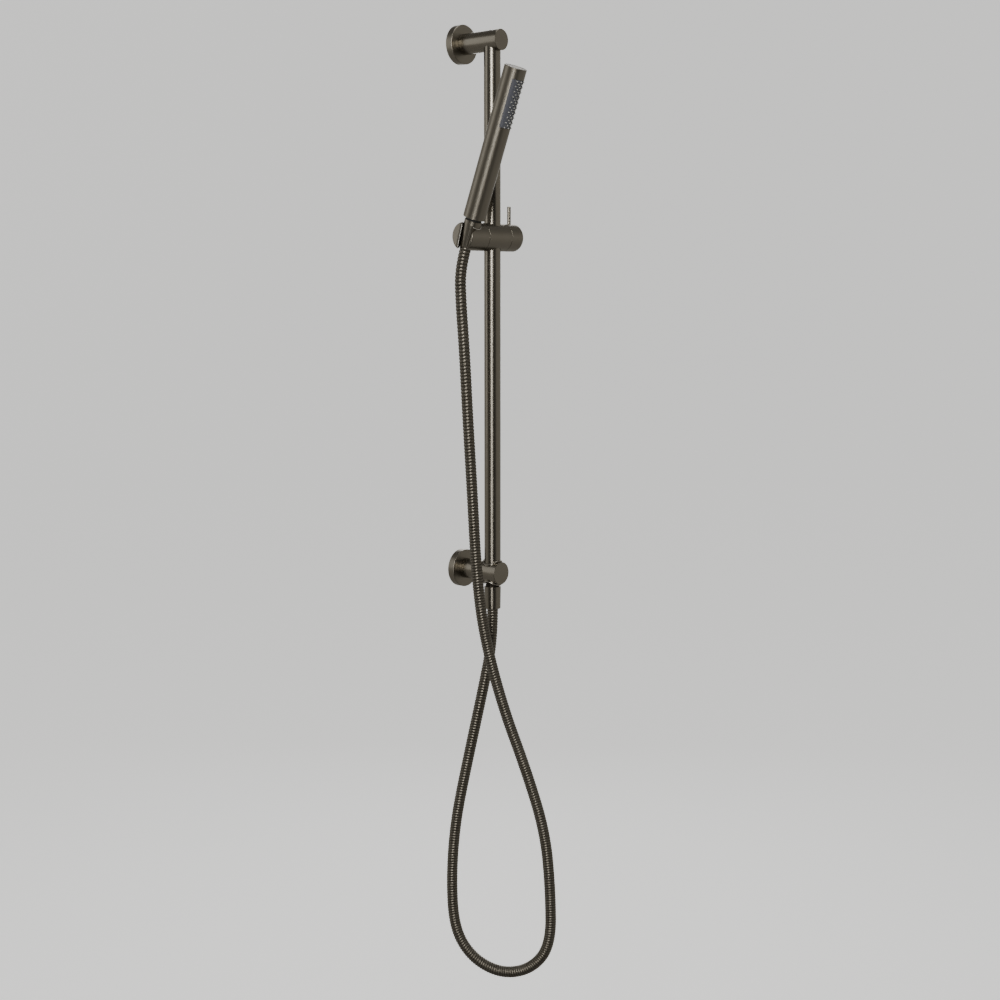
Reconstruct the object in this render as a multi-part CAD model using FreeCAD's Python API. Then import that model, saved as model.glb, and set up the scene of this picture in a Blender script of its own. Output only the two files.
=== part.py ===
# Hand-shower rail set: wall brackets, rail, clamping slider, tilting holder,
# stick handset and a hose from the lower bracket's outlet to the handset.
# Millimetres. +Z is up, the wall is the plane y = 0 and the set stands out
# towards -Y. The origin is the mouth of the water inlet, in the wall plane.

import math
import os

import FreeCAD
import Part

V = FreeCAD.Vector
UP = V(0, 0, 1)
RIGHT = V(1, 0, 0)
OUT = V(0, -1, 0)

# driving dimensions
RAIL_SPACING = 700.0
RAIL_R = 11.0
RAIL_WALL = 1.2
BUSH_R = 12.6
RAIL_Y = -59.0
ROSE_R = 25.5
ROSE_DEPTH = 10.0
POST_R = 13.5
POST_END = 75.0
ELBOW_R = 15.2
ELBOW_START = 44.0
SADDLE_R = 12.7
SADDLE_REACH = 16.9
PLATE_T = 4.0
FIXING_X = 17.0
FIXING_R = 2.6
INLET_R = 9.32
THREAD_R = 9.9

SLIDER_Z = 448.0
SLIDER_R = 18.2
SLIDER_LEFT = -58.7
HOLDER_SEAM = -23.9
KNOB_SEAM = 19.7
SLIDER_RIGHT = 44.8
SEAM_CHAMFER = 0.3
HOLDER_X = -45.5
TILT_DEG = 21.3
SLOT_TURN_DEG = 21.0
SLOT_HALF = 8.9
SLOT_TAPER = 0.087

BARREL_R = 14.6
BARREL_LOW = 25.2
BARREL_TOP = 222.0
BARREL_WALL = 1.6
SPRAY_LOW = 147.2
SPRAY_TOP = 208.9
SPRAY_HALF = 11.2
NOZZLE_PITCH = 6.5
NOZZLE_STEP_DEG = 11.5

HOSE_R = 7.6
HOSE_WALL = 0.8
LINER_R = 6.0
LINER_BORE_R = 4.0

# hose centreline corners, from the handset's nut down the front length,
# round the hanging loop and up to the outlet under the lower bracket
HOSE_ROUTE = [
    (-45.5, -53.907, 434.938),
    (-45.5, -43.0, 407.0),
    (-45.5, -44.5, 362.0),
    (-45.5, -50.5, 300.0),
    (-45.5, -56.0, 214.0),
    (-43.5, -62.0, 113.0),
    (-41.0, -66.0, 15.0),
    (-33.0, -71.5, -75.0),
    (-16.5, -91.0, -176.0),
    (-0.5, -120.0, -264.0),
    (11.5, -144.5, -350.0),
    (14.0, -152.0, -432.0),
    (13.5, -153.5, -507.5),
    (4.5, -127.5, -546.0),
    (-10.5, -85.5, -561.0),
    (-25.0, -43.5, -546.0),
    (-34.0, -17.5, -508.0),
    (-37.0, -14.5, -436.0),
    (-32.5, -18.0, -353.0),
    (-21.0, -32.0, -262.0),
    (-9.0, -48.5, -166.0),
    (0.0, -59.0, -95.0),
    (0.0, -59.0, -48.0),
]
# each hose section: name, the run whose middle it starts at, and ends at
HOSE_SECTIONS = [
    ("lift", 0, 1),
    ("tilt", 1, 3),
    ("swivel", 3, 5),
    ("front", 5, 13),
    ("rear", 13, 21),
]

os.makedirs("parts", exist_ok=True)


def cyl(x, y, z, direction, radius, length):
    return Part.makeCylinder(radius, length, V(x, y, z), direction)


def ring(x, y, z, direction, outer, inner, length):
    body = cyl(x, y, z, direction, outer, length)
    return body.cut(cyl(x, y, z, direction, inner, length))


def cone(x, y, z, direction, r1, r2, length):
    return Part.makeCone(r1, r2, length, V(x, y, z), direction)


def box(x1, x2, y1, y2, z1, z2):
    return Part.makeBox(x2 - x1, y2 - y1, z2 - z1, V(x1, y1, z1))


def union(shapes):
    return shapes[0].multiFuse(shapes[1:]).removeSplitter()


def hexagon(x, y, z, direction, across_flats, length):
    corner = across_flats / math.sqrt(3)
    plane = FreeCAD.Placement(V(x, y, z), FreeCAD.Rotation(UP, direction))
    points = []
    for i in range(7):
        a = math.radians(60 * i)
        points.append(plane.multVec(V(corner * math.cos(a), corner * math.sin(a), 0)))
    face = Part.Face(Part.makePolygon(points))
    return face.extrude(direction.normalize() * length)


def round_rim(solid, radius, test, chamfer=False):
    rims = [e for e in solid.Edges if test(e)]
    if chamfer:
        return solid.makeChamfer(radius, rims)
    return solid.makeFillet(radius, rims)


def circle_at(axis, position, radius):
    """A test for full circular edges of one radius at one place along an axis."""

    def test(edge):
        if not isinstance(edge.Curve, Part.Circle):
            return False
        here = edge.Curve.Center.dot(axis)
        return abs(here - position) < 0.01 and abs(edge.Curve.Radius - radius) < 0.01

    return test


def save(name, shape):
    solids = shape.Solids
    if not solids or not shape.isValid():
        raise RuntimeError("bad solid: " + name)
    out = solids[0] if len(solids) == 1 else Part.makeCompound(solids)
    out.exportStep("parts/" + name + ".step")
    print("%-22s %d solid(s) %10.1f mm3" % (name, len(solids), out.Volume))


# ---------------------------------------------------------------- wall end parts


def back_plate(z):
    """The round plate that is screwed to the wall."""
    plate = cyl(0, 0, z, OUT, 22.0, PLATE_T)
    for side in (-1, 1):
        plate = plate.cut(cyl(side * FIXING_X, 0, z, OUT, FIXING_R, PLATE_T))
        plate = plate.cut(cone(side * FIXING_X, -1.8, z, OUT, FIXING_R, FIXING_R + 2.2, 2.2))
    return plate


def rose(z):
    """The cover disc, with an inner collar that guides the post."""
    disc = cyl(0, 0, z, OUT, ROSE_R, ROSE_DEPTH)
    disc = round_rim(disc, 0.6, circle_at(OUT, ROSE_DEPTH, ROSE_R), chamfer=True)
    disc = disc.cut(cyl(0, 0, z, OUT, ROSE_R - 2.5, ROSE_DEPTH - 2.0))
    disc = disc.fuse(cyl(0, -4.6, z, OUT, 16.6, ROSE_DEPTH - 5.0))
    disc = disc.cut(cyl(0, 0, z, OUT, POST_R + 0.1, ROSE_DEPTH))
    return disc.cut(ring(0, -6.1, z, OUT, 15.2, POST_R, 1.9))


def rose_oring(z):
    return Part.makeTorus(14.4, 0.78, V(0, -7.05, z), OUT)


def post_blank(z):
    post = cyl(0, -PLATE_T, z, OUT, POST_R, POST_END - PLATE_T)
    return round_rim(post, 0.4, circle_at(OUT, POST_END, POST_R), chamfer=True)


def spigot_screw(z):
    """Set screw that holds the post on its spigot, from below."""
    screw = cyl(0, -21.0, z - 13.2, UP, 2.5, 5.2)
    return screw.cut(hexagon(0, -21.0, z - 13.2, UP, 2.5, 2.5))


TOP = RAIL_SPACING

wall_plate_upper = back_plate(TOP).fuse(cyl(0, -PLATE_T, TOP, OUT, 8.0, 24.0))
save("wall_plate_upper", wall_plate_upper.removeSplitter())
save("rose_upper", rose(TOP))
save("rose_lower", rose(0))
save("rose_orings", Part.makeCompound([rose_oring(0), rose_oring(TOP)]))

post_upper = post_blank(TOP)
post_upper = post_upper.cut(cyl(0, -PLATE_T, TOP, OUT, 8.05, 24.5))
post_upper = post_upper.cut(cyl(0, RAIL_Y, TOP - 20, UP, RAIL_R + 0.05, 26.0))
post_upper = post_upper.cut(cyl(0, -21.0, TOP - 20, UP, 2.5, 13.0))
post_upper = post_upper.cut(cyl(0, RAIL_Y, TOP, UP, 2.7, 20.0))
post_upper = post_upper.cut(cyl(0, RAIL_Y, TOP + 9.5, UP, 4.6, 10.0))
save("post_upper", post_upper)

# lower bracket: inlet adapter, elbow post, outlet nipple and check valve
adapter = back_plate(0)
adapter = adapter.fuse(cyl(0, -PLATE_T, 0, OUT, 12.0, 12.0))
adapter = adapter.fuse(cyl(0, -16.0, 0, OUT, 8.0, 14.0)).removeSplitter()
adapter = adapter.cut(cyl(0, 0, 0, OUT, INLET_R, 14.0))
adapter = adapter.cut(cyl(0, -14.0, 0, OUT, 5.0, 16.0))
for groove in (24.5, 28.0):
    adapter = adapter.cut(ring(0, -groove, 0, OUT, 8.0, 6.6, 1.7))
save("inlet_adapter", adapter)
adapter_rings = []
for groove in (24.5, 28.0):
    adapter_rings.append(Part.makeTorus(7.32, 0.7, V(0, -groove - 0.85, 0), OUT))
save("spigot_orings", Part.makeCompound(adapter_rings))

elbow = cyl(0, -ELBOW_START, 0, OUT, ELBOW_R, POST_END - ELBOW_START)
elbow = round_rim(elbow, 0.4, circle_at(OUT, POST_END, ELBOW_R), chamfer=True)
elbow = round_rim(elbow, 0.8, circle_at(OUT, ELBOW_START, ELBOW_R), chamfer=True)
saddle = cyl(0, RAIL_Y, -20, UP, SADDLE_R, 40.0)
saddle = saddle.common(cyl(0, RAIL_Y + SADDLE_R + 1, 0, OUT, SADDLE_REACH, 2 * SADDLE_R + 2))
neck = cyl(0, -PLATE_T, 0, OUT, POST_R, POST_END - PLATE_T - 5.0)
post_lower = union([neck, elbow, saddle])
post_lower = post_lower.cut(cyl(0, -PLATE_T, 0, OUT, 12.05, 12.1))
post_lower = post_lower.cut(cyl(0, -16.0, 0, OUT, 8.05, 14.5))
post_lower = post_lower.cut(cyl(0, -30.0, 0, OUT, 5.0, -RAIL_Y - 30.0))
post_lower = post_lower.cut(cyl(0, RAIL_Y, -20, UP, 5.0, 20.0))
post_lower = post_lower.cut(cyl(0, RAIL_Y, -20, UP, 8.5, 14.0))
post_lower = post_lower.cut(cyl(0, RAIL_Y, 7.0, UP, RAIL_R + 0.05, 20.0))
post_lower = post_lower.cut(cyl(0, -21.0, -20, UP, 2.5, 13.0))
save("post_lower", post_lower)
save("spigot_screws", Part.makeCompound([spigot_screw(0), spigot_screw(TOP)]))

nipple = union([
    cyl(0, RAIL_Y, -17.1, UP, 8.5, 10.8),
    cyl(0, RAIL_Y, -19.0, UP, 9.4, 2.0),
    cyl(0, RAIL_Y, -30.0, UP, THREAD_R, 11.0),
])
nipple = nipple.cut(cyl(0, RAIL_Y, -30.0, UP, 6.6, 25.0))
save("outlet_nipple", nipple)

valve = ring(0, RAIL_Y, -26.0, UP, 6.5, 5.2, 17.0)
valve = valve.fuse(ring(0, RAIL_Y, -11.0, UP, 5.3, 3.4, 2.0))
valve = valve.fuse(ring(0, RAIL_Y, -24.0, UP, 2.1, 1.1, 2.0))
for arm in range(3):
    bar = box(1.6, 5.4, -0.5, 0.5, -24.0, -22.0)
    bar.rotate(V(0, 0, 0), UP, 120 * arm)
    bar.translate(V(0, RAIL_Y, 0))
    valve = valve.fuse(bar)
save("valve_housing", valve.removeSplitter())
poppet = union([
    cyl(0, RAIL_Y, -13.2, UP, 4.4, 2.15),
    cyl(0, RAIL_Y, -24.6, UP, 1.05, 12.0),
])
save("valve_poppet", poppet)
spring_line = Part.makeHelix(1.7, 8.2, 2.4)
spring_section = Part.Wire(Part.Edge(Part.Circle(V(2.4, 0, 0), V(0, 1, 0), 0.3)))
spring = Part.Wire(spring_line).makePipeShell([spring_section], True, True)
spring.translate(V(0, RAIL_Y, -21.65))
save("valve_spring", spring)

save("outlet_washer", ring(0, RAIL_Y, -32.0, UP, 9.4, 6.2, 2.0))
insert_lower = union([cyl(0, RAIL_Y, -34.0, UP, 9.3, 2.0), cyl(0, RAIL_Y, -48.0, UP, 7.6, 14.0)])
insert_lower = insert_lower.cut(cyl(0, RAIL_Y, -48.0, UP, LINER_BORE_R, 16.0))
save("hose_insert_lower", insert_lower)
nut_lower = cone(0, RAIL_Y, -49.8, UP, 10.8, 11.3, 30.8)
nut_lower = round_rim(nut_lower, 0.4, circle_at(UP, -19.0, 11.3), chamfer=True)
nut_lower = round_rim(nut_lower, 0.6, circle_at(UP, -49.8, 10.8), chamfer=True)
nut_lower = nut_lower.cut(cyl(0, RAIL_Y, -34.1, UP, THREAD_R, 16.0))
nut_lower = nut_lower.cut(cyl(0, RAIL_Y, -50.0, UP, 7.7, 20.0))
save("hose_nut_lower", nut_lower)

# ---------------------------------------------------------------- rail

RAIL_LOW = 7.0
RAIL_HIGH = TOP + 6.0
save("rail_tube", ring(0, RAIL_Y, RAIL_LOW, UP, RAIL_R, RAIL_R - RAIL_WALL, RAIL_HIGH - RAIL_LOW))
plugs = []
for low in (RAIL_LOW, RAIL_HIGH - 14.0):
    plugs.append(ring(0, RAIL_Y, low, UP, RAIL_R - RAIL_WALL, 2.5, 14.0))
save("rail_plugs", Part.makeCompound(plugs))
rail_screw = union([
    cyl(0, RAIL_Y, TOP - 6.0, UP, 2.5, 16.0),
    cyl(0, RAIL_Y, TOP + 9.5, UP, 4.25, 3.6),
])
rail_screw = rail_screw.cut(hexagon(0, RAIL_Y, TOP + 10.6, UP, 4.0, 2.5))
save("rail_screw", rail_screw)

# ---------------------------------------------------------------- slider

Z = SLIDER_Z
bush = ring(0, RAIL_Y, Z - 11.8, UP, BUSH_R, RAIL_R + 0.05, 23.6)
bush = bush.cut(box(-14, -10, RAIL_Y - 1.0, RAIL_Y + 1.0, Z - 12, Z + 12))
save("rail_bush", bush)

clamp = cyl(HOLDER_SEAM + 0.1, RAIL_Y, Z, RIGHT, SLIDER_R, KNOB_SEAM - HOLDER_SEAM - 0.2)
for seam in (HOLDER_SEAM + 0.1, KNOB_SEAM - 0.1):
    clamp = round_rim(clamp, SEAM_CHAMFER, circle_at(RIGHT, seam, SLIDER_R), chamfer=True)
clamp = clamp.cut(cyl(0, RAIL_Y, Z - 20, UP, RAIL_R + 0.3, 40.0))
clamp = clamp.cut(cyl(0, RAIL_Y, Z - 11.85, UP, BUSH_R + 0.05, 23.7))
clamp = clamp.cut(cyl(HOLDER_SEAM, RAIL_Y, Z, RIGHT, 3.0, 9.0))
clamp = clamp.cut(cyl(10, RAIL_Y, Z, RIGHT, 6.05, 5.0))
clamp = clamp.cut(cyl(15, RAIL_Y, Z, RIGHT, 7.5, 8.0))
clamp = clamp.cut(ring(HOLDER_SEAM - 0.5, RAIL_Y, Z, RIGHT, 13.0, 9.0, 1.0))
clamp = clamp.cut(ring(KNOB_SEAM - 0.5, RAIL_Y, Z, RIGHT, 13.0, 9.0, 1.0))
save("clamp_body", clamp)
save("thread_insert", ring(15, RAIL_Y, Z, RIGHT, 7.5, 4.0, KNOB_SEAM - 0.1 - 15))
washers = []
for low in (HOLDER_SEAM - 0.5, KNOB_SEAM - 0.5):
    washers.append(ring(low, RAIL_Y, Z, RIGHT, 13.0, 9.0, 1.0))
save("friction_washers", Part.makeCompound(washers))
tilt_screw = union([
    cyl(-34.0, RAIL_Y, Z, RIGHT, 5.5, 3.4),
    cyl(-30.6, RAIL_Y, Z, RIGHT, 4.0, 30.6 + HOLDER_SEAM + 0.1),
    cyl(HOLDER_SEAM + 0.1, RAIL_Y, Z, RIGHT, 3.0, 8.5),
])
tilt_screw = tilt_screw.cut(hexagon(-34.0, RAIL_Y, Z, V(1, 0, 0), 4.0, 2.4))
save("tilt_screw", tilt_screw)
save("spring_washer", ring(-30.6, RAIL_Y, Z, RIGHT, 5.4, 4.0, 0.6))

brake = cyl(9.0, RAIL_Y, Z, RIGHT, 6.0, 5.4)
brake = brake.cut(cyl(0, RAIL_Y, Z - 10, UP, BUSH_R + 0.05, 20.0))
save("brake_pad", brake)

knob = cyl(KNOB_SEAM + 0.1, RAIL_Y, Z, RIGHT, SLIDER_R, SLIDER_RIGHT - KNOB_SEAM - 0.1)
knob = round_rim(knob, 5.5, circle_at(RIGHT, SLIDER_RIGHT, SLIDER_R))
knob = round_rim(knob, SEAM_CHAMFER, circle_at(RIGHT, KNOB_SEAM + 0.1, SLIDER_R), chamfer=True)
knob = knob.cut(ring(KNOB_SEAM, RAIL_Y, Z, RIGHT, 13.1, 8.9, 0.55))
knob = knob.cut(cyl(KNOB_SEAM, RAIL_Y, Z, RIGHT, 4.0, 39.5 - KNOB_SEAM))
knob = knob.cut(cyl(33.0, RAIL_Y, Z, UP, 2.5, 20.0))
save("lock_knob", knob)
spindle = cyl(14.9, RAIL_Y, Z, RIGHT, 3.95, 24.5)
spindle = spindle.cut(box(30, 36, RAIL_Y - 4, RAIL_Y + 4, Z + 3.4, Z + 5))
save("clamp_spindle", spindle)
pin = cyl(33.0, RAIL_Y, Z + 3.4, UP, 2.5, 37.6)
pin = round_rim(pin, 0.5, circle_at(UP, Z + 41.0, 2.5), chamfer=True)
save("lever_pin", pin)

# ---------------------------------------------------------------- tilted parts

# these are drawn upright about their own axis, from the middle of the holder,
# and then tilted outwards and put in place
TILT = FreeCAD.Placement(V(HOLDER_X, RAIL_Y, Z), FreeCAD.Rotation(RIGHT, TILT_DEG))


def tilted(shape):
    placed = shape.copy()
    placed.transformShape(TILT.toMatrix(), True)
    return placed


NUT_LOW = -14.0
NUT_STEP = 16.0
NUT_TOP = 22.2
NUT_R = 11.3
NUT_TIP_R = 8.0


def nut_outline(gap):
    """The conical nut's outside, or the holder's seat for it with a gap."""
    taper = cone(0, 0, NUT_LOW, UP, NUT_TIP_R + gap, NUT_R + gap, NUT_STEP - NUT_LOW)
    return taper.fuse(cyl(0, 0, NUT_STEP, UP, NUT_R + gap, NUT_TOP - NUT_STEP)).removeSplitter()


SLOT_TURN = math.radians(SLOT_TURN_DEG)
SLOT_OUT = V(-math.cos(SLOT_TURN), -math.sin(SLOT_TURN), 0)
SLOT_SIDE = V(-math.sin(SLOT_TURN), math.cos(SLOT_TURN), 0)
END_FACE = SLIDER_LEFT - HOLDER_X


def slot_section(height):
    """The slot's outline at one height, with a chamfer at each side of its mouth."""
    half = SLOT_HALF + SLOT_TAPER * height

    def on_side(sign, x):
        foot = SLOT_SIDE * (sign * half)
        return foot + SLOT_OUT * ((x - foot.x) / SLOT_OUT.x)

    back = on_side(1, END_FACE)
    front = on_side(-1, END_FACE)
    points = [
        SLOT_SIDE * half,
        on_side(1, END_FACE + 1.1),
        V(END_FACE, back.y + 2.7, 0),
        V(END_FACE - 20, back.y + 2.7, 0),
        V(END_FACE - 20, front.y - 1.0, 0),
        V(END_FACE, front.y - 1.0, 0),
        on_side(-1, END_FACE + 0.8),
        SLOT_SIDE * -half,
    ]
    points = [V(p.x, p.y, height) for p in points]
    return Part.makePolygon(points + points[:1])


seat = union([
    nut_outline(0.05),
    cyl(0, 0, -22.0, UP, NUT_TIP_R + 0.05, 8.05),
    cone(0, 0, 4.0, UP, NUT_R - 1.5, NUT_R + 1.3, 14.0),
    cyl(0, 0, 17.99, UP, NUT_R + 1.3, 12.0),
])
slot = Part.makeLoft([slot_section(-40.0), slot_section(40.0)], True, True)
holder = cyl(SLIDER_LEFT, RAIL_Y, Z, RIGHT, SLIDER_R, HOLDER_SEAM - 0.1 - SLIDER_LEFT)
holder = round_rim(holder, 2.0, circle_at(RIGHT, SLIDER_LEFT, SLIDER_R))
holder = round_rim(holder, SEAM_CHAMFER, circle_at(RIGHT, HOLDER_SEAM - 0.1, SLIDER_R), chamfer=True)
holder = holder.cut(tilted(seat))
holder = holder.cut(tilted(slot))
holder = holder.cut(cyl(-45.0, RAIL_Y, Z, RIGHT, 6.0, 15.0))
holder = holder.cut(cyl(-31.0, RAIL_Y, Z, RIGHT, 4.05, 8.0))
holder = holder.cut(ring(HOLDER_SEAM - 0.55, RAIL_Y, Z, RIGHT, 13.1, 8.9, 1.0))
save("handset_holder", holder)

nut_upper = round_rim(nut_outline(0.0), 0.4, circle_at(UP, NUT_TOP, NUT_R), chamfer=True)
nut_upper = nut_upper.cut(cyl(0, 0, 8.0, UP, THREAD_R, 15.0))
nut_upper = nut_upper.cut(cyl(0, 0, NUT_LOW, UP, 6.5, 23.0))
save("hose_nut_upper", tilted(nut_upper))
insert_upper = union([cyl(0, 0, 8.05, UP, 9.2, 1.95), cyl(0, 0, NUT_LOW, UP, 6.4, 22.5)])
insert_upper = insert_upper.cut(cyl(0, 0, NUT_LOW, UP, LINER_BORE_R, 24.0))
save("hose_insert_upper", tilted(insert_upper))
save("filter_washer", tilted(ring(0, 0, 10.1, UP, 9.3, 5.0, 1.9)))
save("nut_oring", tilted(ring(0, 0, NUT_TOP, UP, 10.5, THREAD_R, BARREL_LOW - NUT_TOP)))

connector = union([
    cyl(0, 0, 12.0, UP, THREAD_R, BARREL_LOW + 2.2 - 12.0),
    cyl(0, 0, BARREL_LOW + 2.0, UP, BARREL_R - BARREL_WALL - 0.05, 8.0),
])
connector = connector.cut(cyl(0, 0, 12.0, UP, 5.5, 24.0))
connector = connector.cut(cyl(0, 0, BARREL_LOW + 6.0, UP, 8.0, 10.0))
connector = connector.cut(ring(0, 0, BARREL_LOW + 5.0, UP, 14.0, 11.4, 2.0))
save("connector", tilted(connector))
save("connector_oring", tilted(Part.makeTorus(12.2, 0.75, V(0, 0, BARREL_LOW + 6.0), UP)))
regulator = cyl(0, 0, 14.0, UP, 5.45, 4.0).cut(cyl(0, 0, 14.0, UP, 1.6, 4.0))
for i in range(6):
    a = math.radians(60 * i)
    regulator = regulator.cut(cyl(3.6 * math.cos(a), 3.6 * math.sin(a), 14.0, UP, 0.7, 4.0))
save("flow_regulator", tilted(regulator))

barrel = cyl(0, 0, BARREL_LOW, UP, BARREL_R, BARREL_TOP - BARREL_LOW)
barrel = barrel.cut(cyl(0, 0, BARREL_LOW + 2.0, UP, BARREL_R - BARREL_WALL, 300.0))
barrel = barrel.cut(cyl(0, 0, BARREL_LOW, UP, THREAD_R + 0.1, 4.0))
barrel = round_rim(barrel, 0.4, circle_at(UP, BARREL_LOW, BARREL_R), chamfer=True)
barrel = round_rim(barrel, 0.4, circle_at(UP, BARREL_TOP, BARREL_R), chamfer=True)
window = box(-SPRAY_HALF, SPRAY_HALF, -20.0, -4.0, SPRAY_LOW, SPRAY_TOP)
barrel = barrel.cut(window)
save("handset_barrel", tilted(barrel))
cap = cyl(0, 0, BARREL_TOP - 4.0, UP, BARREL_R - BARREL_WALL - 0.05, 3.8)
save("end_cap", tilted(cap))

# the spray strip fills the window, just below the barrel; the soft nozzles
# stand on a curved mat behind it and reach through its holes
NOZZLE_ROWS = 10
nozzle_places = []
for column in range(5):
    angle = math.radians((column - 2) * NOZZLE_STEP_DEG)
    shift = NOZZLE_PITCH / 2 if column % 2 else 0.0
    rows = NOZZLE_ROWS - 1 if column % 2 else NOZZLE_ROWS
    for row in range(rows):
        height = SPRAY_TOP - 2.0 - shift - row * NOZZLE_PITCH
        nozzle_places.append((V(math.sin(angle), -math.cos(angle), 0), height))


def strip(outer, inner, half_width, low, high):
    shell = ring(0, 0, low, UP, outer, inner, high - low)
    return shell.common(box(-half_width, half_width, -20.0, -4.0, low, high))


def nozzle_set(radius, start, end):
    out = []
    for direction, height in nozzle_places:
        foot = direction * start + V(0, 0, height)
        out.append(Part.makeCylinder(radius, end - start, foot, direction))
    return out


face = strip(BARREL_R - 0.25, BARREL_R - 2.2, SPRAY_HALF - 0.2, SPRAY_LOW + 0.2, SPRAY_TOP - 0.2)
face = face.cut(Part.makeCompound(nozzle_set(1.05, 10.0, 17.0)))
save("spray_face", tilted(face))
mat = strip(BARREL_R - 2.2, BARREL_R - 3.4, SPRAY_HALF - 1.5, SPRAY_LOW + 0.3, SPRAY_TOP - 0.5)
mat = mat.multiFuse(nozzle_set(1.0, BARREL_R - 2.8, BARREL_R + 1.6))
mat = mat.cut(Part.makeCompound(nozzle_set(0.4, 9.0, 17.0)))
save("spray_nozzles", tilted(mat))

chamber = cyl(0, 0, SPRAY_LOW - 5.0, UP, BARREL_R - 3.45, SPRAY_TOP - SPRAY_LOW + 9.0)
chamber = chamber.cut(cyl(0, 0, SPRAY_LOW - 3.0, UP, BARREL_R - 4.9, SPRAY_TOP - SPRAY_LOW + 5.0))
chamber = chamber.cut(box(-8.0, 8.0, -20.0, -4.0, SPRAY_LOW + 2.0, SPRAY_TOP - 2.0))
chamber = chamber.cut(cyl(0, 0, SPRAY_LOW - 6.0, UP, 6.5, 5.0))
save("spray_chamber", tilted(chamber))
pipe_low = BARREL_LOW + 6.0
pipe = ring(0, 0, pipe_low, UP, 7.95, 6.5, SPRAY_LOW - 5.0 - pipe_low)
save("water_pipe", tilted(pipe))

# ---------------------------------------------------------------- hose


def corner(before, at, after):
    """The arc that rounds one corner: its two ends, its middle and its radius."""
    a = (at - before).normalize()
    b = (after - at).normalize()
    half = a.getAngle(b) / 2
    reach = 0.45 * min((at - before).Length, (after - at).Length)
    radius = reach / math.tan(half)
    inward = (b - a).normalize()
    middle = at + inward * (radius / math.cos(half) - radius)
    return at - a * reach, middle, at + b * reach, radius


route = [V(*p) for p in HOSE_ROUTE]
corners = [None]
for i in range(1, len(route) - 1):
    corners.append(corner(route[i - 1], route[i], route[i + 1]))
radii = [c[3] for c in corners[1:]]
print("hose corner radii", " ".join("%.0f" % r for r in radii), "least %.1f" % min(radii))


def run_middle(i):
    return (route[i] + route[i + 1]) * 0.5


def section_line(first, last):
    """One length of the hose, as straight runs and the arcs that join them."""
    here = route[0] if first == 0 else run_middle(first)
    edges = []
    for i in range(first + 1, last + 1):
        start, middle, end, radius = corners[i]
        edges.append(Part.LineSegment(here, start).toShape())
        edges.append(Part.Arc(start, middle, end).toShape())
        here = end
    finish = route[-1] if last == len(route) - 2 else run_middle(last)
    edges.append(Part.LineSegment(here, finish).toShape())
    return Part.Wire(edges)


def tube(line, outer, inner):
    first = line.Edges[0]
    start = first.valueAt(first.FirstParameter)
    along = first.tangentAt(first.FirstParameter)
    solids = []
    for radius in (outer, inner):
        profile = Part.Wire(Part.Edge(Part.Circle(start, along, radius)))
        solids.append(line.makePipeShell([profile], True, False))
    made = solids[0].cut(solids[1])
    wanted = math.pi * (outer ** 2 - inner ** 2) * line.Length
    if abs(made.Volume / wanted - 1) > 0.01:
        raise RuntimeError("hose tube volume is off: %.1f, %.1f" % (made.Volume, wanted))
    return made


total = 0.0
for name, first, last in HOSE_SECTIONS:
    line = section_line(first, last)
    total += line.Length
    print("hose section %s %.1f mm" % (name, line.Length))
    save("hose_" + name, tube(line, HOSE_R, HOSE_R - HOSE_WALL))
    save("liner_" + name, tube(line, LINER_R, LINER_BORE_R))
print("free hose between its nuts %.1f mm" % total)
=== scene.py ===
import math

import bmesh
import bpy
import numpy as np
from mathutils import Matrix, Vector


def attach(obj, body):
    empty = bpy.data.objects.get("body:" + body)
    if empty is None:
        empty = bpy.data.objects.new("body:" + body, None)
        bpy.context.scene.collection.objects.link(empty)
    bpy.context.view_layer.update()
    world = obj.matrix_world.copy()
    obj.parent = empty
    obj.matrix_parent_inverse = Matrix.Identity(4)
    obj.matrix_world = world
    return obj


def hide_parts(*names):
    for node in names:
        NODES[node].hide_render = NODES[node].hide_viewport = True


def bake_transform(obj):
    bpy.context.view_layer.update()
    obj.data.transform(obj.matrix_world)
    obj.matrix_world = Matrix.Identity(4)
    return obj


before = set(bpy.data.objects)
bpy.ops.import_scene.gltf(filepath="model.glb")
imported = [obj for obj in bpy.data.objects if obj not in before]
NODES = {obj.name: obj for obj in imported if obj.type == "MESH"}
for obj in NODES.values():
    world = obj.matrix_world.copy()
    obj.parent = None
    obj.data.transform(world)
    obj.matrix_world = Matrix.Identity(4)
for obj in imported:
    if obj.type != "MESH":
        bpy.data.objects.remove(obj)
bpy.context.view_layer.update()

# sizes in metres that the detail pieces share with the CAD
RAIL_Y = -0.059  # the rail's axis, which the slider's axis crosses
SLIDER_Z = 0.448
SLIDER_R = 0.0182
SLIDER_LEFT = -0.0587
HOLDER_SEAM = -0.0239  # x of the joint between the holder and the clamp body
KNOB_SEAM = 0.0197  # x of the joint between the clamp body and the knob
HOLDER_X = -0.0455  # the handset's axis in the holder
TILT = math.radians(21.3)
SLOT_TURN = math.radians(21.0)  # the slot's direction, from straight left to the front
SLOT_HALF = 0.0089  # half the slot's width level with the slider's axis
SLOT_TAPER = 0.087  # how fast that half grows going up
SEAT_CONE = (0.004, 0.018, 0.0098, 0.0126)  # its two heights and its radius at each
SADDLE_R = 0.0127  # the lower bracket's collars, and how far they reach from its axis
SADDLE_REACH = 0.0169
HOSE_R = 0.0076
BARREL_R = 0.0146
SPRAY_TOP = 0.2089
NOZZLE_PITCH = 0.0065
NOZZLE_STEP = math.radians(11.5)
NOZZLE_COLUMNS = 5

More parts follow.
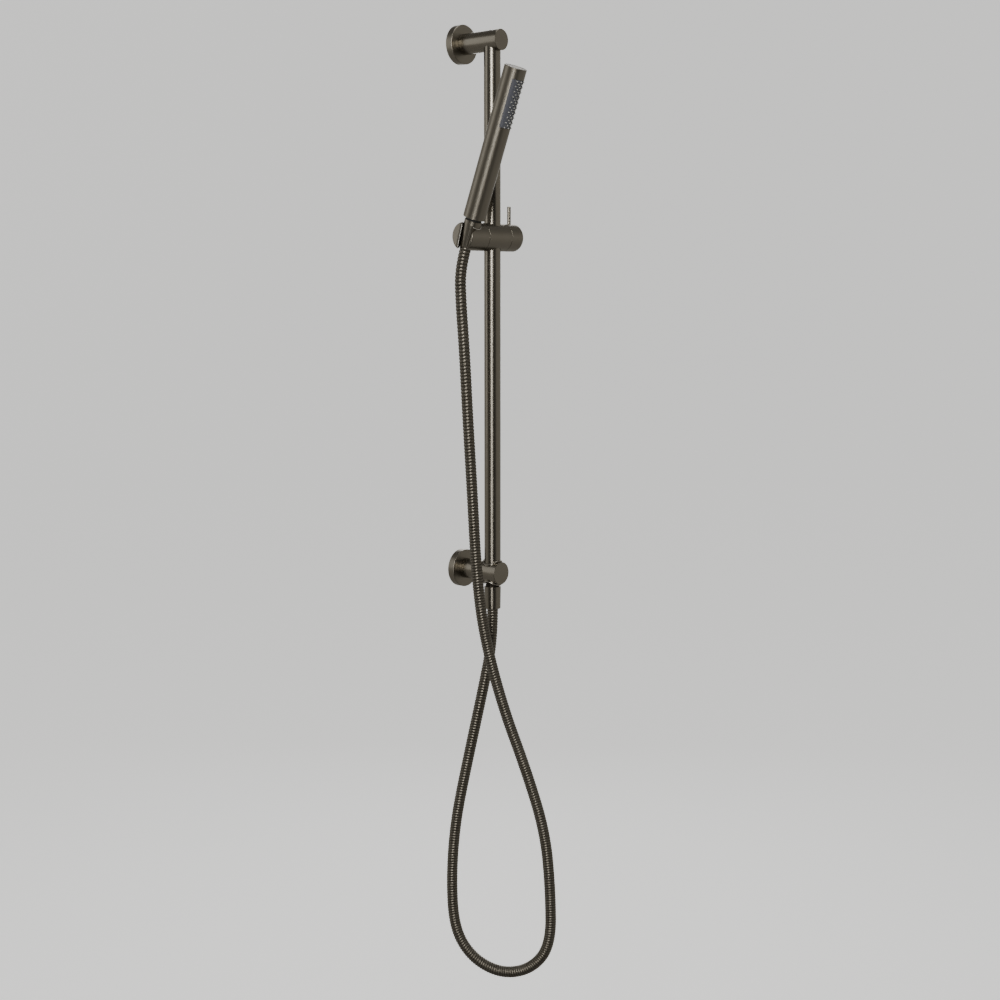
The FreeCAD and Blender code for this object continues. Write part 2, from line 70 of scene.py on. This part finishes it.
# how far the fine beads stand from the edges they lie on, and how thick they are
SEAM_DEPTH = 0.00026
RIM_BEAD = 0.0006
COLLAR_BEAD = 0.0007
BEAD_SIDES = 8
RIM_SINK = 0.0001
COLLAR_SINK = 0.0002
SLOT_SINK = 0.0011
SLOT_END_SINK = 0.0008

# ------------------------------------------------------------------ camera

AZIMUTH = math.radians(48.23)
PITCH = math.radians(7.53)
LENS = 56.79
CAMERA_PLACE = (-1.5659, -1.4711, 0.3772)
camera_data = bpy.data.cameras.new("camera")
camera_data.sensor_width = 36.0
camera_data.lens = LENS
camera = bpy.data.objects.new("camera", camera_data)
bpy.context.scene.collection.objects.link(camera)
camera.location = CAMERA_PLACE
look = Vector((
    math.sin(AZIMUTH) * math.cos(PITCH),
    math.cos(AZIMUTH) * math.cos(PITCH),
    -math.sin(PITCH),
))
camera.rotation_mode = "QUATERNION"
camera.rotation_quaternion = look.to_track_quat("-Z", "Y")
camera_data.clip_end = 60.0
bpy.context.scene.camera = camera

# ------------------------------------------------------------------ materials


# the depth in metres of the fine grain that bump gives every surface
GRAIN_DEPTH = 0.00005


def new_material(name):
    material = bpy.data.materials.new(name)
    material.use_nodes = True
    tree = material.node_tree
    return material, tree, tree.nodes["Principled BSDF"]


def add(tree, kind, **values):
    node = tree.nodes.new(kind)
    for key, value in values.items():
        setattr(node, key, value)
    return node


def mapped(tree, rotation, scale):
    """Object coordinates, turned and then stretched."""
    coordinates = add(tree, "ShaderNodeTexCoord")
    turn = add(tree, "ShaderNodeMapping")
    turn.inputs["Rotation"].default_value = rotation
    stretch = add(tree, "ShaderNodeMapping")
    stretch.inputs["Scale"].default_value = scale
    tree.links.new(coordinates.outputs["Object"], turn.inputs["Vector"])
    tree.links.new(turn.outputs["Vector"], stretch.inputs["Vector"])
    return stretch.outputs["Vector"]


def noise(tree, vector, detail=3.0, rough=0.6):
    node = add(tree, "ShaderNodeTexNoise")
    node.inputs["Scale"].default_value = 1.0
    node.inputs["Detail"].default_value = detail
    node.inputs["Roughness"].default_value = rough
    tree.links.new(vector, node.inputs["Vector"])
    return node.outputs["Fac"]


def ranged(tree, value, low, high, start=0.3, end=0.7):
    node = add(tree, "ShaderNodeMapRange")
    node.inputs["From Min"].default_value = start
    node.inputs["From Max"].default_value = end
    node.inputs["To Min"].default_value = low
    node.inputs["To Max"].default_value = high
    tree.links.new(value, node.inputs["Value"])
    return node.outputs["Result"]


def two_tone(tree, factor, dark, light):
    ramp = add(tree, "ShaderNodeValToRGB")
    ramp.color_ramp.elements[0].position = 0.3
    ramp.color_ramp.elements[1].position = 0.7
    ramp.color_ramp.elements[0].color = (*dark, 1)
    ramp.color_ramp.elements[1].color = (*light, 1)
    tree.links.new(factor, ramp.inputs["Fac"])
    return ramp.outputs["Color"]


def bump(tree, shader, height, strength):
    node = add(tree, "ShaderNodeBump")
    node.inputs["Strength"].default_value = strength
    node.inputs["Distance"].default_value = GRAIN_DEPTH
    tree.links.new(height, node.inputs["Height"])
    tree.links.new(node.outputs["Normal"], shader.inputs["Normal"])


LINE_SHARE = 0.65
CLOUD_SIZE = 38


def brushed(name, dark, light, rough, grain, rotation=(0, 0, 0), depth=0.03):
    """Satin metal with fine brush lines; grain is the stretch along X, Y and Z."""
    material, tree, shader = new_material(name)
    lines = noise(tree, mapped(tree, rotation, grain), 4.0, 0.7)
    cloud = noise(tree, mapped(tree, rotation, (CLOUD_SIZE,) * 3), 3.0, 0.5)
    mixed = add(tree, "ShaderNodeMath", operation="MULTIPLY_ADD")
    mixed.inputs[1].default_value = LINE_SHARE
    tree.links.new(lines, mixed.inputs[0])
    weight = add(tree, "ShaderNodeMath", operation="MULTIPLY")
    weight.inputs[1].default_value = 1 - LINE_SHARE
    tree.links.new(cloud, weight.inputs[0])
    tree.links.new(weight.outputs["Value"], mixed.inputs[2])
    colour = two_tone(tree, mixed.outputs["Value"], dark, light)
    tree.links.new(colour, shader.inputs["Base Color"])
    tree.links.new(
        ranged(tree, mixed.outputs["Value"], rough - 0.02, rough + 0.02),
        shader.inputs["Roughness"],
    )
    shader.inputs["Metallic"].default_value = 1.0
    bump(tree, shader, lines, depth)
    return material


def plain(name, dark, light, rough, size, depth=0.1):
    """Moulded plastic or rubber with a fine even grain."""
    material, tree, shader = new_material(name)
    grain = noise(tree, mapped(tree, (0, 0, 0), (size, size, size)), 4.0, 0.6)
    tree.links.new(two_tone(tree, grain, dark, light), shader.inputs["Base Color"])
    tree.links.new(ranged(tree, grain, rough - 0.05, rough + 0.05), shader.inputs["Roughness"])
    bump(tree, shader, grain, depth)
    return material


# brush lines run along the axes that have the slow grain
DARK = (0.226, 0.208, 0.172)
LIGHT = (0.262, 0.243, 0.204)
FINE = 5200.0
SLOW = 45.0
EVEN = (SLOW, SLOW, SLOW)
UPRIGHT = (FINE * 0.5, FINE * 0.5, SLOW)
HOSE_GRAIN = (900, 900, 900)
metal_rail = brushed("gunmetal_rail", DARK, LIGHT, 0.27, UPRIGHT)
metal_post = brushed("gunmetal_post", DARK, LIGHT, 0.27, (SLOW, FINE, SLOW))
metal_slider = brushed("gunmetal_slider", DARK, LIGHT, 0.33, (FINE, SLOW, SLOW))
metal_rose = brushed("gunmetal_rose", DARK, LIGHT, 0.36, (SLOW, FINE, SLOW))
metal_handset = brushed("gunmetal_handset", DARK, LIGHT, 0.36, UPRIGHT, (-TILT, 0, 0))
# lighter copies of the metal for the fine rim beads: painted highlights
rim_highlight_metal = brushed("painted_rim_highlight", (0.62, 0.60, 0.56), (0.72, 0.70, 0.66), 0.42, EVEN)
# a lighter copy of the metal for the collar rim beads: painted highlight
lip_highlight_metal = brushed("painted_lip_highlight", (0.36, 0.34, 0.30), (0.43, 0.41, 0.36), 0.38, EVEN)
hose_metal = brushed(
    "hose_metal", (0.150, 0.137, 0.112), (0.205, 0.190, 0.160), 0.40, HOSE_GRAIN
)
# a darker copy of the hose metal for the groove faces: painted shade
hose_groove_shade = brushed(
    "hose_groove_shade", (0.075, 0.068, 0.054), (0.100, 0.091, 0.074), 0.5, HOSE_GRAIN
)
# near-black metal: painted shade in the seams and round the outlet nipple
painted_gap_shade = brushed(
    "painted_gap_shade", (0.030, 0.026, 0.020), (0.048, 0.042, 0.034), 0.55, HOSE_GRAIN
)
strip_plastic = plain(
    "strip_plastic", (0.082, 0.086, 0.104), (0.102, 0.107, 0.128), 0.48, 2600
)
silicone = plain(
    "silicone", (0.46, 0.465, 0.45), (0.56, 0.565, 0.55), 0.5, 1800, depth=0.06
)
# a darker copy of the silicone for the nozzle stems: painted shade
silicone_stem_shade = plain(
    "silicone_stem_shade", (0.105, 0.107, 0.095), (0.135, 0.138, 0.122), 0.55, 1800, depth=0.06
)
white_plastic = plain("white_plastic", (0.70, 0.70, 0.68), (0.78, 0.78, 0.76), 0.42, 1500)
black_rubber = plain(
    "black_rubber", (0.012, 0.012, 0.012), (0.022, 0.022, 0.022), 0.6, 2200
)
raw_brass = brushed(
    "raw_brass", (0.60, 0.44, 0.20), (0.72, 0.55, 0.28), 0.26, (SLOW, FINE, SLOW)
)
screw_steel = brushed(
    "screw_steel", (0.50, 0.50, 0.51), (0.60, 0.60, 0.61), 0.24, (FINE, FINE, SLOW)
)

LOOKS = {
    metal_rail: ["rail_tube", "hose_nut_lower", "lever_pin"],
    metal_rose: ["rose_upper", "rose_lower"],
    metal_post: ["post_upper", "post_lower"],
    metal_slider: ["clamp_body", "lock_knob", "handset_holder"],
    # the outlet nipple is painted near black, as the shade of its gap
    painted_gap_shade: ["outlet_nipple"],
    metal_handset: ["hose_nut_upper", "handset_barrel", "end_cap"],
    strip_plastic: ["spray_face"],
    silicone: ["spray_nozzles"],
    white_plastic: [
        "valve_housing", "valve_poppet", "rail_bush", "friction_washers", "brake_pad",
        "flow_regulator", "spray_chamber", "water_pipe",
    ],
    black_rubber: [
        "rose_orings", "spigot_orings", "outlet_washer", "filter_washer", "nut_oring",
        "connector_oring",
    ],
    raw_brass: [
        "wall_plate_upper", "inlet_adapter", "hose_insert_lower", "rail_plugs",
        "thread_insert", "hose_insert_upper", "connector",
    ],
    screw_steel: [
        "spigot_screws", "valve_spring", "rail_screw", "tilt_screw", "spring_washer",
        "clamp_spindle",
    ],
}
for material, names in LOOKS.items():
    for name in names:
        NODES[name].data.materials.clear()
        NODES[name].data.materials.append(material)

# ------------------------------------------------------------------ mesh helpers


def make_object(name, verts, faces, material, weld=0.0):
    """A smooth mesh object; points nearer to each other than weld become one."""
    mesh = bpy.data.meshes.new(name)
    mesh.from_pydata([tuple(v) for v in verts], [], [tuple(f) for f in faces])
    if weld:
        work = bmesh.new()
        work.from_mesh(mesh)
        bmesh.ops.remove_doubles(work, verts=work.verts, dist=weld)
        bmesh.ops.recalc_face_normals(work, faces=work.faces)
        work.to_mesh(mesh)
        work.free()
    mesh.validate()
    mesh.polygons.foreach_set("use_smooth", [True] * len(mesh.polygons))
    mesh.materials.append(material)
    made = bpy.data.objects.new(name, mesh)
    bpy.context.scene.collection.objects.link(made)
    return made


def tilted(point):
    """From the handset's own upright frame to the row frame."""
    turn = Matrix.Rotation(TILT, 3, "X")
    return turn @ Vector(point) + Vector((HOLDER_X, RAIL_Y, SLIDER_Z))


# ------------------------------------------------------------------ hose

# the hose's route, as in the CAD: from the handset's nut to the outlet
ROUTE = [
    (-0.0455, -0.053907, 0.434938),
    (-0.0455, -0.0430, 0.4070),
    (-0.0455, -0.0445, 0.3620),
    (-0.0455, -0.0505, 0.3000),
    (-0.0455, -0.0560, 0.2140),
    (-0.0435, -0.0620, 0.1130),
    (-0.0410, -0.0660, 0.0150),
    (-0.0330, -0.0715, -0.0750),
    (-0.0165, -0.0910, -0.1760),
    (-0.0005, -0.1200, -0.2640),
    (0.0115, -0.1445, -0.3500),
    (0.0140, -0.1520, -0.4320),
    (0.0135, -0.1535, -0.5075),
    (0.0045, -0.1275, -0.5460),
    (-0.0105, -0.0855, -0.5610),
    (-0.0250, -0.0435, -0.5460),
    (-0.0340, -0.0175, -0.5080),
    (-0.0370, -0.0145, -0.4360),
    (-0.0325, -0.0180, -0.3530),
    (-0.0210, -0.0320, -0.2620),
    (-0.0090, -0.0485, -0.1660),
    (0.0000, -0.0590, -0.0950),
    (0.0000, -0.0590, -0.0480),
]
route_curve = bpy.data.curves.new("hose_route", "CURVE")
route_curve.dimensions = "3D"
spline = route_curve.splines.new("NURBS")
spline.points.add(len(ROUTE) - 1)
for point, place in zip(spline.points, ROUTE):
    point.co = (*place, 1.0)
spline.order_u = 3
spline.use_endpoint_u = True
spline.resolution_u = 40
route_object = bpy.data.objects.new("hose_route", route_curve)
bpy.context.scene.collection.objects.link(route_object)
bpy.context.view_layer.update()
route_mesh = bpy.data.meshes.new_from_object(route_object)
line = np.array([v.co for v in route_mesh.vertices], float)
bpy.data.objects.remove(route_object)
gaps = np.linalg.norm(np.diff(line, axis=0), axis=1)
line = line[np.concatenate([[True], gaps > 1e-7])]
gaps = np.linalg.norm(np.diff(line, axis=0), axis=1)
along = np.concatenate([[0.0], np.cumsum(gaps)])
HOSE_LENGTH = float(along[-1])


def at_length(s):
    return np.stack([np.interp(s, along, line[:, k]) for k in range(3)], axis=-1)


# one strip wound round and round: every rib is one turn, and a row of the mesh
# follows the winding. RIB_PITCH gives the length of a turn at lengths along the
# hose: the turns are widest near the handset and closest in the loop.
ROWS_PER_RIB = 7
SIDES = 26
RIB_PITCH = [
    (0.0, 0.00475), (0.16, 0.0045), (0.30, 0.0042), (0.45, 0.0038), (0.68, 0.0034),
    (1.00, 0.00345), (1.25, 0.0037), (1.60, 0.0039),
]
RIB_SHAPE = [0.885, 0.945, 0.985, 1.0, 1.0, 0.985, 0.945]
# the faces of these rows take the darker groove material: painted shade
GROOVE_ROWS = (0, ROWS_PER_RIB - 1)
WINDING_STEPS = 3000
wound = np.linspace(0.0, HOSE_LENGTH, WINDING_STEPS)
turn_rate = 1.0 / np.interp(wound, *zip(*RIB_PITCH))
mean_rate = (turn_rate[1:] + turn_rate[:-1]) / 2
turns = np.concatenate([[0.0], np.cumsum(mean_rate * np.diff(wound))])
rib_count = int(round(turns[-1]))
turns *= rib_count / turns[-1]
row_count = rib_count * ROWS_PER_RIB + 1


def length_at_turn(turn):
    return np.interp(turn, turns, wound)


def row_at_length(s):
    """The first row of the rib nearest to a length along the hose."""
    return int(round(float(np.interp(s, wound, turns)))) * ROWS_PER_RIB


def rib_radius(row):
    """Radius of the wound strip at a row: from groove to crest and back over a turn."""
    return HOSE_R * RIB_SHAPE[row % ROWS_PER_RIB]


# frames along the hose, turned as little as possible from one to the next
STATIONS = 4000
SMOOTHING = 3
stations = np.linspace(0.0, HOSE_LENGTH, STATIONS)
places = at_length(stations)
tangents = np.gradient(places, axis=0)
tangents /= np.linalg.norm(tangents, axis=1)[:, None]
for _ in range(SMOOTHING):
    tangents[1:-1] = (tangents[:-2] + 2 * tangents[1:-1] + tangents[2:]) / 4
    tangents /= np.linalg.norm(tangents, axis=1)[:, None]
side = np.cross(tangents[0], (0.0, 1.0, 0.0))
side /= np.linalg.norm(side)
side_axes = []
for t in tangents:
    side = side - t * np.dot(side, t)
    side /= np.linalg.norm(side)
    side_axes.append(side)
side_axes = np.array(side_axes)
up_axes = np.cross(tangents, side_axes)


def sampled(table, s):
    return np.stack([np.interp(s, stations, table[:, k]) for k in range(3)], axis=-1)


round_share = np.arange(SIDES + 1) / SIDES


def hose_piece(name, first_row, last_row):
    """The ribbed hose between two rows of its winding."""
    rows = np.arange(first_row, last_row + 1)
    verts = []
    for row in rows:
        s = length_at_turn(row / ROWS_PER_RIB + round_share - 0.5)
        radius = rib_radius(int(row))
        turn = round_share * 2 * math.pi
        ring = sampled(places, s)
        ring = ring + sampled(side_axes, s) * (radius * np.cos(turn))[:, None]
        ring = ring + sampled(up_axes, s) * (radius * np.sin(turn))[:, None]
        verts.append(ring)
    verts = np.concatenate(verts)
    faces = []
    groove_shade_mask = []
    wide = SIDES + 1
    for i in range(len(rows) - 1):
        for j in range(SIDES):
            a = i * wide + j
            faces.append((a, a + 1, a + wide + 1, a + wide))
            groove_shade_mask.append(int(rows[i] % ROWS_PER_RIB in GROOVE_ROWS))
    piece = make_object(name, verts, faces, hose_metal, weld=1e-6)
    piece.data.materials.append(hose_groove_shade)
    # the groove faces are painted darker, as shade
    piece.data.polygons.foreach_set("material_index", groove_shade_mask)
    middle = np.linspace(rows[0], rows[-1], max(8, (last_row - first_row) // 3))
    centre = at_length(length_at_turn(middle / ROWS_PER_RIB))
    return piece, centre


def nearest_length(point):
    return float(along[np.linalg.norm(line - np.array(point), axis=1).argmin()])


def halfway(i):
    return (np.array(ROUTE[i]) + np.array(ROUTE[i + 1])) / 2


# the hose is cut where the CAD cuts it: halfway along these runs of the route
CUT_RUNS = (1, 3, 5, 13)
cut_rows = [0]
cut_rows += [row_at_length(nearest_length(halfway(i))) for i in CUT_RUNS]
cut_rows += [row_count - 1]
# each piece from the handset down, and the bodies given for its lower and upper end; only the
# rear piece, which has none, is attached (to the wall rail)
SECTIONS = {
    "lift": ("holder", "hose_end"),
    "tilt": ("slider_body", "holder"),
    "swivel": ("slider_carriage", "slider_body"),
    "front": ("wall_rail", "slider_carriage"),
    "rear": None,
}
# the height given to the lower end point of the front piece, near the bottom of the loop
FRONT_STILL_BELOW = -0.557
for k, (section, joined) in enumerate(SECTIONS.items()):
    piece, centre = hose_piece("hose_ribs_" + section, cut_rows[k], cut_rows[k + 1])
    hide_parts("hose_" + section, "liner_" + section)
    if joined is None:
        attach(piece, "wall_rail")
        continue
    top_end, low_end = centre[0], centre[-1]
    if section == "front":
        low_end = np.array([low_end[0], low_end[1], FRONT_STILL_BELOW])
    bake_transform(piece)


# ------------------------------------------------------------------ fine details

ANY_WAY = (0.31, 0.92, 0.24)  # a direction that no bead follows
END_SHARE = 0.05


def tube(points, radius, closed):
    """A thin round bead along a line of points; an open one narrows at its ends."""
    points = np.array(points)
    count = len(points)
    sides = BEAD_SIDES
    verts = []
    faces = []
    for i, here in enumerate(points):
        if closed:
            way = points[(i + 1) % count] - points[i - 1]
        else:
            way = points[min(i + 1, count - 1)] - points[max(i - 1, 0)]
        way /= np.linalg.norm(way)
        if i == 0:
            across = np.cross(way, ANY_WAY)
        across = across - way * np.dot(across, way)
        across /= np.linalg.norm(across)
        above = np.cross(way, across)
        thin = 1.0 if closed or 0 < i < count - 1 else END_SHARE
        for j in range(sides):
            a = 2 * math.pi * j / sides
            outward = across * math.cos(a) + above * math.sin(a)
            verts.append(here + radius * thin * outward)
    for i in range(count if closed else count - 1):
        k = (i + 1) % count
        for j in range(sides):
            m = (j + 1) % sides
            faces.append((i * sides + j, i * sides + m, k * sides + m, k * sides + j))
    return verts, faces


def bead(name, body, lines, radius, material, closed=False):
    """The rounded edge of a rim, as a fine bead along it."""
    verts, faces = [], []
    for points in lines:
        more_verts, more_faces = tube(points, radius, closed)
        faces += [tuple(len(verts) + k for k in face) for face in more_faces]
        verts += more_verts
    piece = make_object(name, verts, faces, material)
    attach(piece, body)


def seat_radius(s):
    """Radius of the holder's seat at a height along the handset's axis."""
    low, high, small, large = SEAT_CONE
    share = min(max((s - low) / (high - low), 0.0), 1.0)
    return small + (large - small) * share


def on_slider(point, radius):
    """How far a point is outside the slider's round side."""
    return math.hypot(point[1] - RAIL_Y, point[2] - SLIDER_Z) - radius


def seat_point(a, s):
    """A point of the seat, at an angle round the handset's axis and a height along it."""
    return tilted((seat_radius(s) * math.cos(a), seat_radius(s) * math.sin(a), s))


def seat_edge(a):
    """Where the seat comes out through the slider's round side, by halving."""
    low, high = 0.004, 0.04
    for _ in range(40):
        middle = (low + high) / 2
        if on_slider(seat_point(a, middle), SLIDER_R - RIM_SINK) < 0:
            low = middle
        else:
            high = middle
    return seat_point(a, low)


# the mouth of the holder's seat, where the nut goes in; it stops at the slot. Its bead is a
# lighter metal, a painted highlight.
RIM_DEGREES = 128
rim = [seat_edge(math.radians(d)) for d in np.linspace(-RIM_DEGREES, RIM_DEGREES, 60)]
bead("holder_seat_rim", "holder", [rim], RIM_BEAD, rim_highlight_metal)

# the slot's back edge, down the holder's end face; its bead is a lighter metal, a painted
# highlight
edge = []
slot_out = np.array([-math.cos(SLOT_TURN), -math.sin(SLOT_TURN)])
slot_side = np.array([-math.sin(SLOT_TURN), math.cos(SLOT_TURN)])
end_face = SLIDER_LEFT - HOLDER_X + SLOT_SINK
for s in np.linspace(-0.0170, 0.0195, 24):
    foot = slot_side * (SLOT_HALF + SLOT_TAPER * s)
    place = foot + slot_out * ((end_face - foot[0]) / slot_out[0])
    point = tilted((place[0], place[1], s))
    if on_slider(point, SLIDER_R - SLOT_END_SINK) < 0:
        edge.append(point)
bead("holder_slot_edge", "holder", [edge], RIM_BEAD, rim_highlight_metal)

# the rims of the collars above and below the lower bracket's elbow, as lighter beads: painted
# highlights
collars = []
for up in (-1, 1):
    ring = []
    for a in np.linspace(0, 2 * math.pi, 72, endpoint=False):
        x = (SADDLE_R - COLLAR_SINK) * math.cos(a)
        y = RAIL_Y + (SADDLE_R - COLLAR_SINK) * math.sin(a)
        ring.append((x, y, up * (math.sqrt(SADDLE_REACH ** 2 - x ** 2) - COLLAR_SINK)))
    collars.append(ring)
bead("elbow_collar_rims", "wall_rail", collars, COLLAR_BEAD, lip_highlight_metal, closed=True)

# painted shade: near-black beads in the seams where the holder and the knob meet the clamp
# body
reach = SLIDER_R - SEAM_DEPTH
for name, seam in (("holder_seam", HOLDER_SEAM), ("knob_seam", KNOB_SEAM)):
    ring = []
    for a in np.linspace(0, 2 * math.pi, 96, endpoint=False):
        ring.append((seam, RAIL_Y + reach * math.cos(a), SLIDER_Z + reach * math.sin(a)))
    bead(name, "slider_body", [ring], SEAM_DEPTH, painted_gap_shade, closed=True)

# soft nozzles: a wide foot on the strip, a tapered stem and a rounded tip with a
# hole in it. STEM is (radius, height over the strip), from foot to bottom of the hole.
STEM = [
    (0.00120, -0.0026), (0.00120, -0.0002), (0.00104, 0.0001), (0.00094, 0.0006),
    (0.00086, 0.00105), (0.00080, 0.00135), (0.00060, 0.0016), (0.00044, 0.00158),
    (0.00038, 0.00145), (0.00036, 0.0006),
]
# below this ring the stem is a darker copy of the silicone, painted shade
TIP_RING = 4  # the stem is lighter from this ring up
NOZZLE_SIDES = 14
TOP_GAP = 0.002
verts, faces, on_tip = [], [], []
for column in range(NOZZLE_COLUMNS):
    turn = (column - NOZZLE_COLUMNS // 2) * NOZZLE_STEP
    out = np.array([math.sin(turn), -math.cos(turn), 0.0])
    side_way = np.array([math.cos(turn), math.sin(turn), 0.0])
    odd = column % 2
    for row in range(9 if odd else 10):
        height = SPRAY_TOP - TOP_GAP - (row + odd / 2) * NOZZLE_PITCH
        start = len(verts)
        for radius, reach in STEM:
            for j in range(NOZZLE_SIDES):
                a = 2 * math.pi * j / NOZZLE_SIDES
                place = out * (BARREL_R + reach) + side_way * radius * math.cos(a)
                verts.append(tilted(place + np.array([0, 0, height + radius * math.sin(a)])))
        for i in range(len(STEM) - 1):
            for j in range(NOZZLE_SIDES):
                k = (j + 1) % NOZZLE_SIDES
                a, b = start + i * NOZZLE_SIDES, start + (i + 1) * NOZZLE_SIDES
                faces.append((a + j, a + k, b + k, b + j))
                on_tip.append(int(i >= TIP_RING))
        bottom = start + (len(STEM) - 1) * NOZZLE_SIDES
        faces.append(tuple(bottom + j for j in range(NOZZLE_SIDES)))
        on_tip.append(0)
nozzles = make_object("soft_nozzles", verts, faces, silicone_stem_shade)
nozzles.data.materials.append(silicone)
nozzles.data.polygons.foreach_set("material_index", on_tip)
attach(nozzles, "handset")
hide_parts("spray_nozzles")

# ------------------------------------------------------------------ light and stage


def area_light(name, place, target, wide, high, power, colour=(1, 1, 1)):
    data = bpy.data.lights.new(name, "AREA")
    data.shape = "RECTANGLE"
    data.size = wide
    data.size_y = high
    data.energy = power
    data.color = colour
    made = bpy.data.objects.new(name, data)
    bpy.context.scene.collection.objects.link(made)
    made.location = place
    made.rotation_mode = "QUATERNION"
    toward_target = Vector(target) - Vector(place)
    made.rotation_quaternion = toward_target.to_track_quat("-Z", "Y")
    made.visible_camera = False


LIT_Y = -0.06


def around(degrees, distance, height):
    """A place round the rail; 0 is the camera's side and positive is to its right."""
    a = AZIMUTH - math.radians(degrees)
    return (-math.sin(a) * distance, LIT_Y - math.cos(a) * distance, height)


MIDDLE = (0.0, LIT_Y, 0.25)
WARM = (1.0, 0.98, 0.95)
area_light("key", around(-10, 2.6, 1.35), (0, LIT_Y, 0.45), 0.62, 2.0, 52, WARM)
area_light("key_low", around(-10, 2.6, -0.18), (0, LIT_Y, 0.0), 0.62, 1.05, 9, WARM)
area_light("left", around(-91, 2.3, 0.95), MIDDLE, 0.9, 2.0, 4)
area_light("over", (0.2, -0.5, 2.6), MIDDLE, 1.4, 1.4, 12)
area_light("back", around(178, 2.4, 0.9), MIDDLE, 1.2, 1.8, 14)

# the room is brighter to both sides than behind the camera, and darker above and below
ROOM_TURN = math.radians(-7)
world = bpy.data.worlds.new("world")
bpy.context.scene.world = world
world.use_nodes = True
world_tree = world.node_tree
direction = add(world_tree, "ShaderNodeTexCoord").outputs["Generated"]
toward = add(world_tree, "ShaderNodeVectorMath", operation="DOT_PRODUCT")
dark_way = AZIMUTH - ROOM_TURN
toward.inputs[1].default_value = (-math.sin(dark_way), -math.cos(dark_way), 0.0)
height = add(world_tree, "ShaderNodeSeparateXYZ")
world_tree.links.new(direction, toward.inputs[0])
world_tree.links.new(direction, height.inputs["Vector"])


def levels(value, stops):
    """A warm grey ramp over values from -1 to 1, given as (value, level) pairs."""
    ramp = add(world_tree, "ShaderNodeValToRGB")
    while len(ramp.color_ramp.elements) < len(stops):
        ramp.color_ramp.elements.new(0.5)
    for element, (place, level) in zip(ramp.color_ramp.elements, stops):
        element.position = (place + 1) / 2
        element.color = (level, level * 0.98, level * 0.94, 1)
    scaled = ranged(world_tree, value, 0.0, 1.0, -1, 1)
    world_tree.links.new(scaled, ramp.inputs["Fac"])
    return ramp.outputs["Color"]


sideways = levels(toward.outputs["Value"], [(0.42, 0.44), (0.70, 0.045)])
upright = levels(
    height.outputs["Z"],
    [(-1.0, 0.55), (-0.45, 0.72), (0.1, 1.0), (0.55, 0.5), (1.0, 0.16)],
)
both = add(world_tree, "ShaderNodeVectorMath", operation="MULTIPLY")
world_tree.links.new(sideways, both.inputs[0])
world_tree.links.new(upright, both.inputs[1])
background = world_tree.nodes["Background"]
world_tree.links.new(both.outputs["Vector"], background.inputs["Color"])
background.inputs["Strength"].default_value = 1.0


def stage_material(name, colour, glow):
    material, tree, shader = new_material(name)
    grain = noise(tree, mapped(tree, (0, 0, 0), (3, 3, 3)), 2.0, 0.5)
    dark = tuple(c * 0.985 for c in colour)
    tree.links.new(two_tone(tree, grain, dark, colour), shader.inputs["Base Color"])
    shader.inputs["Roughness"].default_value = 0.9
    shader.inputs["Emission Color"].default_value = (*colour, 1)
    shader.inputs["Emission Strength"].default_value = glow
    return material


def lathe(name, profile, sides, material):
    """A surface turned about the Z axis, from (radius, height) pairs."""
    verts = []
    faces = []
    for radius, height in profile:
        for j in range(sides):
            a = 2 * math.pi * j / sides
            verts.append((radius * math.cos(a), radius * math.sin(a), height))
    for i in range(len(profile) - 1):
        for j in range(sides):
            k = (j + 1) % sides
            a, b = i * sides, (i + 1) * sides
            faces.append((a + j, a + k, b + k, b + j))
    return make_object(name, verts, faces, material)


# floor and backdrop are one pale surface that closes overhead
FLOOR = -1.1
PALE = (0.80, 0.80, 0.79)
BACKDROP = [
    (0.001, FLOOR), (3.0, FLOOR), (7.0, FLOOR), (8.2, FLOOR + 0.25), (9.0, FLOOR + 1.0),
    (9.3, FLOOR + 2.2), (9.3, 9.0), (6.0, 12.0), (0.001, 12.5),
]
backdrop = lathe("backdrop", BACKDROP, 64, stage_material("backdrop", PALE, 0.99))
backdrop.visible_glossy = False
backdrop.visible_diffuse = False
